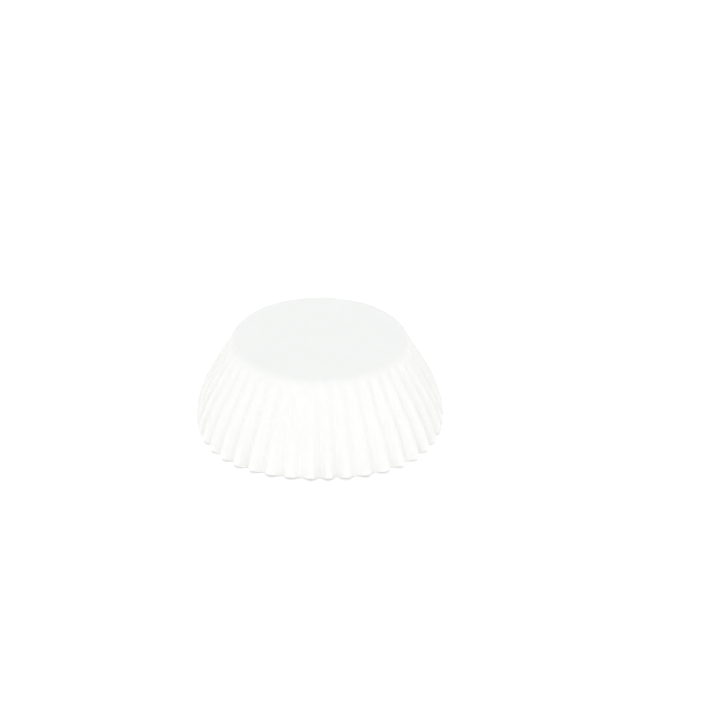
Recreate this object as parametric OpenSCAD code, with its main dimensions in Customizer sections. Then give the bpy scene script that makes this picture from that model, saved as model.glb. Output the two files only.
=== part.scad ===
// Pleated paper baking cup, standing upside down on its rim.
// It is pressed from one flat disc of thin paper: the middle stays flat as the base, and the
// border turns down into a pleated wall. Paper doesn't stretch, so every ring of the disc keeps
// its length. The rings further out are longer than the wall is round, and the pleats take up
// what is spare, which is why they start from nothing at the base and are deepest at the rim.
// Lengths are in millimetres. The origin is on the axis, at the level that the cup stands on.

/* [Cup] */
// Diameter of the base, measured at the corner where the lines of base and wall would meet
base_d = 50; // [42:1:58]
// Diameter of the mouth, halfway between the crests and the valleys of the pleats
mouth_d = 72; // [62:1:80]
// Length of the wall along the paper, from that corner to the rim
wall_len = 27; // [18:0.5:40]
// Radius of the rounded bend between base and wall
bend_r = 2.5; // [1:0.25:4]
// Thickness of the paper
paper_t = 0.06; // [0.04:0.01:0.15]

/* [Pleats] */
// Number of pleats round the wall
pleat_count = 42; // [28:1:50]
// Form of a pleat: at 2 its valley is as round as its crest, and a lower value tightens the valley
pleat_form = 1.3; // [1.1:0.1:2]
// Height of a rounded pleat against a sharp zigzag that holds the same length of paper
pleat_fill = 0.88; // [0.8:0.02:1]
// Length of paper past the flat base over which the pleats come up to their full height
pleat_run_in = 5; // [3:0.5:10]

/* [Detail] */
// Corners in the outline of one pleat
pleat_corners = 8; // [4:2:8]
// Steps down the bend
bend_steps = 3; // [2:1:5]
// Steps down the wall
wall_steps = 3; // [3:1:5]

/* [Hidden] */
paper_white = [0.96, 0.965, 0.95];

base_r = base_d / 2;
mouth_r = mouth_d / 2;

// Angle of the wall below the level of the base
wall_angle = acos((mouth_r - base_r) / wall_len);
// The bend starts and ends this far from the corner that it rounds off
bend_reach = bend_r * tan(wall_angle / 2);
// Paper radii, measured on the flat disc: where the base ends, where the bend ends, and the rim
flat_end = base_r - bend_reach;
bend_end = flat_end + bend_r * wall_angle * PI / 180;
disc_r = bend_end + wall_len - bend_reach;

// Steps down the wall are shorter near the bend, where the pleats deepen fastest
step_growth = 1.4;

// Paper radius of each row of corners, from the edge of the flat base to the rim
rows = [
    for (i = [0 : bend_steps]) flat_end + (bend_end - flat_end) * i / bend_steps,
    for (i = [1 : wall_steps]) bend_end + (disc_r - bend_end) * pow(i / wall_steps, step_growth)
];

// Way round the cup of the first pleat's valley: straight to the front
first_valley = -90;

// A whole even number of corners, so that each crest and each valley has one of its own
outline_corners = 2 * round(pleat_corners / 2);
corners = pleat_count * outline_corners;

function square_of(x) = x * x;
function unit(v) = v / norm(v);

// Angle that the bend has turned through at paper radius s
function turned(s) = min(wall_angle, (s - flat_end) / bend_r * 180 / PI);

// The wall's middle line, halfway between crests and valleys: its radius, and its depth under the base
function mean_radius(s) =
    flat_end + bend_r * sin(turned(s)) + max(0, s - bend_end) * cos(wall_angle);
function mean_depth(s) =
    bend_r * (1 - cos(turned(s))) + max(0, s - bend_end) * sin(wall_angle);

// Share of their full height that the pleats have come up to at paper radius s. What little paper
// the bend has to spare goes into creases too fine to draw, so the bend is smooth and round
function run_in(s) =
    let (way = min(1, (s - flat_end) / pleat_run_in))
    square_of(way) * (3 - 2 * way);

// Height of a pleat from valley to crest. At its full height, its outline holds the ring's length
function pleat_height(s) =
    pleat_fill * run_in(s) * PI / pleat_count
    * sqrt(max(0, square_of(s) - square_of(mean_radius(s))));

// Outline of a pleat over one turn: 1 on its crest and -1 in its valley, with a valley at turn 0
function pleat_wave(turn) = 2 * pow(abs(sin(180 * turn)), pleat_form) - 1;

// Way round the wall at a turn along the paper. On a crest or in a valley the paper runs round the
// wall, and on a flank it runs in or out, so equal steps along it lie closer there
function way_round(s, turn) =
    360 / pleat_count * (turn + (s / mean_radius(s) - 1) / (4 * PI) * sin(720 * turn));

// A crest leans out more than a valley, so along the same length of paper it comes down less
function paper_radius(s, turn) = mean_radius(s) + pleat_height(s) / 2 * pleat_wave(turn);
function paper_depth(s, turn) =
    s <= bend_end
        ? mean_depth(s)
        : mean_depth(bend_end) + sqrt(
            square_of(s - bend_end)
            - square_of(paper_radius(s, turn) - paper_radius(bend_end, turn)));

// Middle of the paper's thickness at row i and corner j
function mid(i, j) =
    let (
        turn = j / outline_corners,
        around = first_valley + way_round(rows[i], turn),
        r = paper_radius(rows[i], turn)
    )
    [r * cos(around), r * sin(around), -paper_depth(rows[i], turn)];

// Direction of the paper's outer side at a corner. The flat base faces straight up
function facing(i, j) =
    i == 0
        ? [0, 0, 1]
        : let (
            last = len(rows) - 1,
            across = unit(mid(i, j + 1) - mid(i, j)) + unit(mid(i, j) - mid(i, j - 1)),
            down = mid(min(i + 1, last), j) - mid(i - 1, j)
        )
        unit(cross(down, across));

// Half the thickness, drawn out at a corner so that the flanks beside it keep the full thickness
function half_thickness(i, j) =
    i == 0
        ? paper_t / 2
        : paper_t / 2 / norm(cross(facing(i, j), unit(mid(i, j + 1) - mid(i, j))));

// side is 1 for the outside of the paper and -1 for the inside
function skin(side) = [
    for (i = [0 : len(rows) - 1])
        for (j = [0 : corners - 1])
            mid(i, j) + side * half_thickness(i, j) * facing(i, j)
];

module liner() {
    outside = skin(1);
    inside = skin(-1);
    points = concat(outside, inside);
    bands = len(rows) - 1;
    inner = len(outside);
    stand = -min([for (p = points) p.z]);

    // Number of the point at row i and corner j, which starts again after a full round
    function at(i, j) = i * corners + j % corners;

    color(paper_white)
        translate([0, 0, stand])
            polyhedron(points = points, faces = [
                [for (j = [corners - 1 : -1 : 0]) at(0, j)],
                [for (j = [0 : corners - 1]) inner + at(0, j)],
                for (i = [0 : bands - 1])
                    for (j = [0 : corners - 1])
                        for (face = [
                            [at(i, j), at(i, j + 1), at(i + 1, j)],
                            [at(i, j + 1), at(i + 1, j + 1), at(i + 1, j)]
                        ])
                            for (side = [0, 1])
                                side == 0
                                    ? face
                                    : [inner + face[2], inner + face[1], inner + face[0]],
                for (j = [0 : corners - 1])
                    for (face = [
                        [at(bands, j), at(bands, j + 1), inner + at(bands, j)],
                        [at(bands, j + 1), inner + at(bands, j + 1), inner + at(bands, j)]
                    ])
                        face
            ], convexity = 8);
}

liner();
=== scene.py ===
# A pleated paper baking cup, upside down on a white table.
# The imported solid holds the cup's form. This script lays a finer sheet of paper over that form,
# by the same rule: a flat disc is turned down at its border, every ring of it keeps its length,
# and the pleats take up what is spare. Here the pleats also wander and the wall is pressed a
# little out of round, as soft paper is.
# Lengths in the paper's own section are in millimetres, and all others are in metres.
import math

import bpy
import numpy as np
from mathutils import Matrix, Vector


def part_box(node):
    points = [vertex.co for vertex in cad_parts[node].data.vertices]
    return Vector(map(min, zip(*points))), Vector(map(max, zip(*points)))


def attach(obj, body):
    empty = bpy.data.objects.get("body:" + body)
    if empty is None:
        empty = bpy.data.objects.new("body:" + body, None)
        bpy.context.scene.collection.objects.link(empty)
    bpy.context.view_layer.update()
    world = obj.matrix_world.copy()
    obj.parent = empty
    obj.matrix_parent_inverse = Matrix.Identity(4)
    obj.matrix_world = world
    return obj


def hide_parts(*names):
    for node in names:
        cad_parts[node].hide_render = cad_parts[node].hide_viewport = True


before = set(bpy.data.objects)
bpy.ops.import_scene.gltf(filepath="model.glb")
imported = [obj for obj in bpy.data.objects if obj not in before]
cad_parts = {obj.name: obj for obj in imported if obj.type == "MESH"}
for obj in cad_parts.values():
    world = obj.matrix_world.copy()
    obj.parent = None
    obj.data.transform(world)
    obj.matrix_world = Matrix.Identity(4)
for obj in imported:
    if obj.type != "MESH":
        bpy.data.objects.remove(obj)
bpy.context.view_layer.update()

MM = 0.001

# The cup's driving dimensions, as in the part's source
BASE_D = 50.0
MOUTH_D = 72.0
WALL_LEN = 27.0
BEND_R = 2.5
PAPER_T = 0.06
PLEATS = 42
PLEAT_FORM = 1.3
PLEAT_FILL = 0.88
PLEAT_RUN_IN = 5.0

# Worked out from them: the wall's slope, and the paper radii where base, bend and wall end
WALL_ANGLE = math.acos((MOUTH_D - BASE_D) / 2 / WALL_LEN)
BEND_REACH = BEND_R * math.tan(WALL_ANGLE / 2)
FLAT_END = BASE_D / 2 - BEND_REACH
BEND_END = FLAT_END + BEND_R * WALL_ANGLE
DISC_R = BEND_END + WALL_LEN - BEND_REACH

# Fineness of the sheet
PLEAT_COLUMNS = 24
BEND_ROWS = 10
WALL_ROWS = 30
ROW_GROWTH = 1.25
BASE_RING_GAP = 1.5
FIRST_RING_GAP = BASE_RING_GAP / 4
RING_GAP_GROWTH = 1.3
MIN_RING_COLUMNS = 25
MIN_COLUMN_SHARE = 0.8
SHARP_ANGLE = math.radians(60)

# How uneven the pleats are, and how far the cup is pressed out of round and its wall bulges
SEED = 11
KNOT_SHIFT = 0.08
KNOT_LEAN = 0.10
KNOT_SWAY = 0.05
DIE_OFFSET = 0.1
OVAL = 0.027
SQUARE = 0.022
BULGE = 0.8
# Where the bulge is fullest: 1 puts that halfway down the wall, and more puts it lower
BULGE_LOW = 1.6
# Length of paper past the flat base over which the cup comes to its full oval
OVAL_RUN_IN = 7.0
CRUMPLE_MODES = 40
CRUMPLE_WAVE = (4.0, 16.0)
CRUMPLE_HEIGHT = 0.014

# Fine creases down the wall: how many go round the cup, and how much they lean in radians per mm
CREASE_MODES = 36
CREASE_COUNT = (90, 190)
CREASE_LEAN = 0.25
CREASE_HEIGHT = 0.009

# Radius of each flat disc in the UV map
MAP_DISC_R = 0.245

# The photograph's frame, and the pixel in it where the middle of the cup's base lies
FRAME_PIXELS = 724
BASE_PIXEL = (319.5, 338.5)
PIXELS_PER_MM = 3.54
CAMERA_ELEVATION = math.radians(29.5)
CAMERA_LENS = 250.0
CAMERA_SENSOR = 36.0

# The table's own colour, and light that it adds to what the camera sees, so that it shows as white
FLOOR_COLOUR = (0.94, 0.94, 0.94, 1)
FLOOR_LIFT = 0.45
FLOOR_SIZE = 8

# Darkest and palest of the paper's clouds
PAPER_DARK = (0.938, 0.936, 0.919, 1)
PAPER_PALE = (0.955, 0.953, 0.937, 1)

# The lights were set by trial, until the render's levels lay near the photograph's.
# Light of the room round the table: its walls are brighter and warmer than its ceiling
ROOM_WALL_LIGHT = 1.31
ROOM_CEILING_LIGHT = 0.965
ROOM_WALL_TINT = (1, 0.972, 0.965, 1)
ROOM_CEILING_TINT = (0.9, 0.986, 1, 1)
ROOM_CEILING_FROM = 0.5

# A soft light from the front, a little to the left
SOFTBOX_PLACE = (-0.06, -1.2, 0.4)
SOFTBOX_SIZE = (0.9, 0.5)
SOFTBOX_POWER = 2.57

random = np.random.RandomState(SEED)


def turned(s):
    """Angle that the bend has turned through at paper radius s."""
    return np.clip((s - FLAT_END) / BEND_R, 0, WALL_ANGLE)


def mean_radius(s):
    """Radius of the sheet halfway between crests and valleys, with its bulge, at paper radius s."""
    flat = np.minimum(s, FLAT_END)
    wall = np.clip(s - BEND_END, 0, None)
    down = np.minimum(1, wall / (DISC_R - BEND_END))
    bulge = BULGE * np.sin(math.pi * down ** BULGE_LOW)
    return flat + BEND_R * np.sin(turned(s)) + wall * math.cos(WALL_ANGLE) + bulge


# A knot is a crest or a valley. Knot 0 is the valley straight to the front, and they take turns
KNOTS = 2 * PLEATS
KNOT_STEP = math.pi / PLEATS
FIRST_VALLEY = -math.pi / 2
knot_shift = random.normal(0, KNOT_SHIFT, KNOTS)
knot_lean = random.normal(0, KNOT_LEAN, KNOTS)
knot_sway = random.normal(0, KNOT_SWAY, KNOTS)
knot_phase = random.uniform(0, 2 * math.pi, KNOTS)


def spare(s):
    """Share of a ring's paper that the wall's round doesn't use, which the pleats take up."""
    return 1 - mean_radius(s) / s


def run_in(s, length=PLEAT_RUN_IN):
    """Share of its full size that the pleats' height, or the oval, has come up to at radius s."""
    x = np.clip((s - FLAT_END) / length, 0, 1)
    return x * x * (3 - 2 * x)


def knot_angle(knot, s):
    """Way round the cup of a knot. It wanders only as far as there is spare paper to let it."""
    k = knot % KNOTS
    down = (s - FLAT_END) / (DISC_R - FLAT_END)
    freedom = spare(s) / spare(DISC_R)
    wander = (
        knot_shift[k]
        + knot_lean[k] * (down - 0.5)
        + knot_sway[k] * np.sin(2 * math.pi * down + knot_phase[k])
    )
    return FIRST_VALLEY + KNOT_STEP * (knot + freedom * wander)


def flank_height(knot, s):
    """Rise of the flank between a knot and the next, which holds its share of the ring's paper."""
    width = mean_radius(s) * (knot_angle(knot + 1, s) - knot_angle(knot, s))
    return PLEAT_FILL * run_in(s) * np.sqrt(np.maximum(0, (KNOT_STEP * s) ** 2 - width**2))


def knot_offset(knot, s):
    """How far a crest stands out of the sheet's mean radius, or a valley in from it."""
    side = np.where(knot % 2 == 1, 1, -1)
    return side * (flank_height(knot - 1, s) + flank_height(knot, s)) / 4


def sheet_place(s, share):
    """Way round and radius of the sheet at paper radius s, a share of the way round the disc."""
    along = share * KNOTS
    knot = np.floor(along).astype(int)
    f = along - knot
    swing = (s / mean_radius(s) - 1) / (2 * math.pi)
    start = knot_angle(knot, s)
    width = knot_angle(knot + 1, s) - start
    way = start + width * (f + swing * np.sin(2 * math.pi * f))
    rises = knot % 2 == 0
    towards_crest = np.sin(math.pi / 2 * np.where(rises, f, 1 - f)) ** PLEAT_FORM
    valley = knot_offset(np.where(rises, knot, knot + 1), s)
    crest = knot_offset(np.where(rises, knot + 1, knot), s)
    return way, mean_radius(s) + valley + (crest - valley) * towards_crest


def base_ring_list():
    """Radius and number of columns of each ring of the flat base, from the middle out."""
    rings = []
    radius = FLAT_END
    columns = PLEATS * PLEAT_COLUMNS
    gap = FIRST_RING_GAP
    while radius > gap:
        rings.append((radius, columns))
        crowded = math.tau * radius / columns < MIN_COLUMN_SHARE * gap
        if crowded and columns % 2 == 0 and columns > MIN_RING_COLUMNS:
            columns //= 2
        radius -= gap
        gap = min(BASE_RING_GAP, gap * RING_GAP_GROWTH)
    return rings[::-1]


def wall_row_list():
    """Each row below the base: how far it is through the bend, and down the wall."""
    bend = [(i / BEND_ROWS, 0.0) for i in range(1, BEND_ROWS + 1)]
    wall = [(1.0, (i / WALL_ROWS) ** ROW_GROWTH) for i in range(1, WALL_ROWS + 1)]
    return bend + wall


def mid_rings():
    """Middle of the paper's thickness, ring by ring: places on the cup and on the flat disc.

    The cup is pressed out of round after its depth is worked out, so that the rim stays level.
    """
    rings = []
    for radius, columns in base_ring_list():
        share = np.arange(columns) / columns
        way = FIRST_VALLEY + math.tau * share
        place = np.stack([radius * np.cos(way), radius * np.sin(way), 0 * way], 1)
        rings.append((place, place[:, :2]))
    columns = PLEATS * PLEAT_COLUMNS
    share = np.arange(columns) / columns
    flat_way = FIRST_VALLEY + math.tau * share
    rim = DISC_R + DIE_OFFSET * np.cos(flat_way)
    before, s_before = rings[-1][0], np.full(columns, FLAT_END)
    for bend, wall in wall_row_list():
        s = FLAT_END + (BEND_END - FLAT_END) * bend + (rim - BEND_END) * wall
        way, radius = sheet_place(s, share)
        x, y = radius * np.cos(way), radius * np.sin(way)
        level = (s - s_before) ** 2 - (x - before[:, 0]) ** 2 - (y - before[:, 1]) ** 2
        z = before[:, 2] - np.sqrt(np.maximum(0, level))
        before, s_before = np.stack([x, y, z], 1), s
        oval = OVAL * np.cos(2 * way) * run_in(s, OVAL_RUN_IN)
        square = SQUARE * np.cos(4 * way) * spare(s) / spare(DISC_R)
        pressed = oval + square
        place = np.stack([x * (1 - pressed), y * (1 - pressed), z], 1)
        rings.append((place, np.stack([s * np.cos(flat_way), s * np.sin(flat_way)], 1)))
    return rings


def ring_faces(inner, n_inner, outer, n_outer):
    """Faces between two rings, given by first point and number of points."""
    faces = []
    for k in range(n_inner):
        a, b = inner + k, inner + (k + 1) % n_inner
        if n_inner == n_outer:
            faces.append((a, outer + k, outer + (k + 1) % n_outer, b))
            continue
        left, middle, right = (outer + (2 * k + i) % n_outer for i in range(3))
        faces += [(a, left, middle), (a, middle, b), (b, middle, right)]
    return faces


def point_normals(points, faces):
    """Mean of the normals of the faces round each point."""
    corners = np.array([(f[0], f[1], f[2], f[-1]) for f in faces])
    across = np.cross(points[corners[:, 2]] - points[corners[:, 0]],
                      points[corners[:, 3]] - points[corners[:, 1]])
    normals = np.zeros_like(points)
    for i in range(4):
        np.add.at(normals, corners[:, i], across)
    return normals / np.linalg.norm(normals, axis=1, keepdims=True)


def crumple(flat):
    """Small uneven rise and fall of the paper, over its place on the flat disc."""
    rise = np.zeros(len(flat))
    for _ in range(CRUMPLE_MODES):
        wave = random.uniform(*CRUMPLE_WAVE)
        heading, start = random.uniform(0, math.tau, 2)
        along = flat[:, 0] * math.cos(heading) + flat[:, 1] * math.sin(heading)
        rise += wave * np.sin(math.tau * along / wave + start)
    return rise * CRUMPLE_HEIGHT / rise.std()


def creases(flat):
    """Rise and fall of fine creases that run down the wall, over the place on the flat disc."""
    ring, way = np.hypot(*flat.T), np.arctan2(flat[:, 1], flat[:, 0])
    rise = np.zeros(len(flat))
    for _ in range(CREASE_MODES):
        count = random.randint(*CREASE_COUNT)
        lean = random.uniform(-CREASE_LEAN, CREASE_LEAN)
        rise += np.sin(count * way + lean * ring + random.uniform(0, math.tau))
    return rise * run_in(ring) * CREASE_HEIGHT / rise.std()


def paper_sheet(name):
    """The whole cup as one closed sheet with an outside, an inside and a cut rim."""
    rings = mid_rings()
    points = np.concatenate([[[0, 0, 0]]] + [place for place, _ in rings])
    flat = np.concatenate([[[0, 0]]] + [at for _, at in rings])
    counts = [len(place) for place, _ in rings]
    starts = [1 + sum(counts[:i]) for i in range(len(counts))]

    first = counts[0]
    skin = [(0, 1 + k, 1 + (k + 1) % first) for k in range(first)]
    for i in range(len(rings) - 1):
        skin += ring_faces(starts[i], counts[i], starts[i + 1], counts[i + 1])
    normals = point_normals(points, skin)
    points = points + (crumple(flat) + creases(flat))[:, None] * normals
    normals = point_normals(points, skin)

    inner = len(points)
    both = np.concatenate([points + PAPER_T / 2 * normals, points - PAPER_T / 2 * normals])
    both[:, 2] -= both[:, 2].min()
    rim = starts[-1]
    edge = counts[-1]
    faces = skin + [tuple(inner + p for p in face[::-1]) for face in skin]
    for k in range(edge):
        a, b = rim + k, rim + (k + 1) % edge
        faces.append((a, inner + a, inner + b, b))

    mesh = bpy.data.meshes.new(name)
    mesh.from_pydata((both * MM).tolist(), [], faces)
    mesh.update()
    mesh.shade_smooth()
    mesh.set_sharp_from_angle(angle=SHARP_ANGLE)
    add_flat_map(mesh, flat, inner)
    piece = bpy.data.objects.new(name, mesh)
    bpy.context.scene.collection.objects.link(piece)
    return piece


def add_flat_map(mesh, flat, inner):
    """The paper's own flat disc as the UV map, the outside on the left and the inside right."""
    disc = flat / (DISC_R + DIE_OFFSET) * MAP_DISC_R
    places = np.concatenate([disc + (0.25, 0.5), disc * (-1, 1) + (0.75, 0.5)])
    corner_points = np.zeros(len(mesh.loops), np.int32)
    mesh.loops.foreach_get("vertex_index", corner_points)
    layer = mesh.uv_layers.new(name="OFBake")
    layer.uv.foreach_set("vector", places[corner_points].astype(np.float32).ravel())


class Nodes:
    """Short forms for building a node tree."""

    def __init__(self, tree):
        self.tree = tree
        tree.nodes.clear()

    def add(self, kind, inputs=None, **settings):
        node = self.tree.nodes.new("ShaderNode" + kind)
        for key, value in settings.items():
            setattr(node, key, value)
        for key, value in (inputs or {}).items():
            if isinstance(value, bpy.types.NodeSocket):
                self.tree.links.new(value, node.inputs[key])
            else:
                node.inputs[key].default_value = value
        return node


def paper_material():
    """White greaseproof paper: cloudy, faintly fibrous and a little smooth."""
    material = bpy.data.materials.new("liner_paper")
    material.use_nodes = True
    n = Nodes(material.node_tree)
    place = n.add("TexCoord").outputs["Object"]
    clouds = n.add("TexNoise", {"Vector": place, "Scale": 420, "Detail": 5, "Roughness": 0.6})
    fibres = n.add("TexNoise", {"Vector": place, "Scale": 2600, "Detail": 4, "Roughness": 0.7,
                                "Distortion": 2.5})
    tone = n.add("MapRange", {"Value": clouds.outputs["Fac"], "From Min": 0.3, "From Max": 0.7})
    colour = n.add("Mix", {"Factor": tone.outputs["Result"]}, data_type="RGBA")
    colour.inputs["A"].default_value = PAPER_DARK
    colour.inputs["B"].default_value = PAPER_PALE
    gloss = n.add("MapRange", {"Value": clouds.outputs["Fac"], "From Min": 0.3, "From Max": 0.7,
                               "To Min": 0.56, "To Max": 0.68})
    grain = n.add("Bump", {"Height": fibres.outputs["Fac"], "Strength": 0.25, "Distance": 0.00003})
    bump = n.add("Bump", {"Height": clouds.outputs["Fac"], "Strength": 0.3, "Distance": 0.00006,
                          "Normal": grain.outputs["Normal"]})
    surface = n.add("BsdfPrincipled", {
        "Base Color": colour.outputs["Result"],
        "Roughness": gloss.outputs["Result"],
        "Specular IOR Level": 0.2,
        "Subsurface Weight": 0.3,
        "Subsurface Radius": (1, 1, 1),
        "Subsurface Scale": 0.0005,
        "Normal": bump.outputs["Normal"],
    })
    n.add("OutputMaterial", {"Surface": surface.outputs["BSDF"]})
    return material


def seen_by_camera(n):
    """1 for rays of the camera, and for those that carry its view through gloss or glass."""
    path = n.add("LightPath")
    camera = path.outputs["Is Camera Ray"]
    glossy = path.outputs["Is Glossy Ray"]
    through = path.outputs["Is Transmission Ray"]
    either = n.add("Math", {0: camera, 1: glossy}, operation="MAXIMUM")
    return n.add("Math", {0: either.outputs[0], 1: through}, operation="MAXIMUM").outputs[0]


def make_world():
    world = bpy.data.worlds.new("studio")
    bpy.context.scene.world = world
    world.use_nodes = True
    n = Nodes(world.node_tree)
    up = n.add("SeparateXYZ", {"Vector": n.add("TexCoord").outputs["Generated"]}).outputs["Z"]
    light = n.add("MapRange", {"Value": up, "To Min": ROOM_WALL_LIGHT, "To Max": ROOM_CEILING_LIGHT})
    high = n.add("MapRange", {"Value": up, "From Min": ROOM_CEILING_FROM})
    tint = n.add("Mix", {"Factor": high.outputs["Result"]}, data_type="RGBA")
    tint.inputs["A"].default_value = ROOM_WALL_TINT
    tint.inputs["B"].default_value = ROOM_CEILING_TINT
    room = n.add("Background", {"Color": tint.outputs["Result"], "Strength": light.outputs["Result"]})
    white = n.add("Background", {"Color": (1, 1, 1, 1), "Strength": 1.0})
    mix = n.add("MixShader", {0: seen_by_camera(n), 1: room.outputs[0], 2: white.outputs[0]})
    n.add("OutputWorld", {"Surface": mix.outputs[0]})


def make_floor():
    """A white table. The camera sees it lifted to white, but for the cup's shadow."""
    material = bpy.data.materials.new("table")
    material.use_nodes = True
    n = Nodes(material.node_tree)
    matt = n.add("BsdfDiffuse", {"Color": FLOOR_COLOUR})
    seen = n.add("Math", {0: seen_by_camera(n), 1: FLOOR_LIFT}, operation="MULTIPLY")
    lift = n.add("Emission", {"Color": (1, 1, 1, 1), "Strength": seen.outputs[0]})
    both = n.add("AddShader", {0: matt.outputs[0], 1: lift.outputs[0]})
    n.add("OutputMaterial", {"Surface": both.outputs[0]})
    bpy.ops.mesh.primitive_plane_add(size=FLOOR_SIZE)
    floor = bpy.context.object
    floor.name = "table"
    floor.data.materials.append(material)


def add_softbox(name, place, aim, size, power):
    data = bpy.data.lights.new(name, "AREA")
    data.shape = "RECTANGLE"
    data.size, data.size_y = size
    data.energy = power
    lamp = bpy.data.objects.new(name, data)
    lamp.location = place
    lamp.rotation_euler = (Vector(aim) - Vector(place)).to_track_quat("-Z", "Y").to_euler()
    bpy.context.scene.collection.objects.link(lamp)


def make_camera(base_centre):
    """Looks down along +Y, with the middle of the base on its pixel of the photograph."""
    focal = CAMERA_LENS / CAMERA_SENSOR * FRAME_PIXELS
    distance = focal / PIXELS_PER_MM * MM
    ahead = Vector((0, math.cos(CAMERA_ELEVATION), -math.sin(CAMERA_ELEVATION)))
    right = Vector((1, 0, 0))
    up = right.cross(ahead)
    aside = (BASE_PIXEL[0] - FRAME_PIXELS / 2) / focal * distance
    above = (FRAME_PIXELS / 2 - BASE_PIXEL[1]) / focal * distance
    data = bpy.data.cameras.new("camera")
    data.lens = CAMERA_LENS
    data.sensor_width = CAMERA_SENSOR
    data.clip_end = 20
    camera = bpy.data.objects.new("camera", data)
    turn = Matrix((right, up, -ahead)).transposed().to_4x4()
    place = base_centre - ahead * distance - right * aside - up * above
    camera.matrix_world = Matrix.Translation(place) @ turn
    bpy.context.scene.collection.objects.link(camera)
    bpy.context.scene.camera = camera


base_centre = Vector((0, 0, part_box("liner")[1].z))
make_camera(base_centre)
make_world()
make_floor()
add_softbox("front_softbox", SOFTBOX_PLACE, base_centre, SOFTBOX_SIZE, SOFTBOX_POWER)

cup = paper_sheet("pleated_paper")
cup.data.materials.append(paper_material())
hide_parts("liner")
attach(cup, "root")

bpy.context.scene.view_settings.view_transform = "Standard"
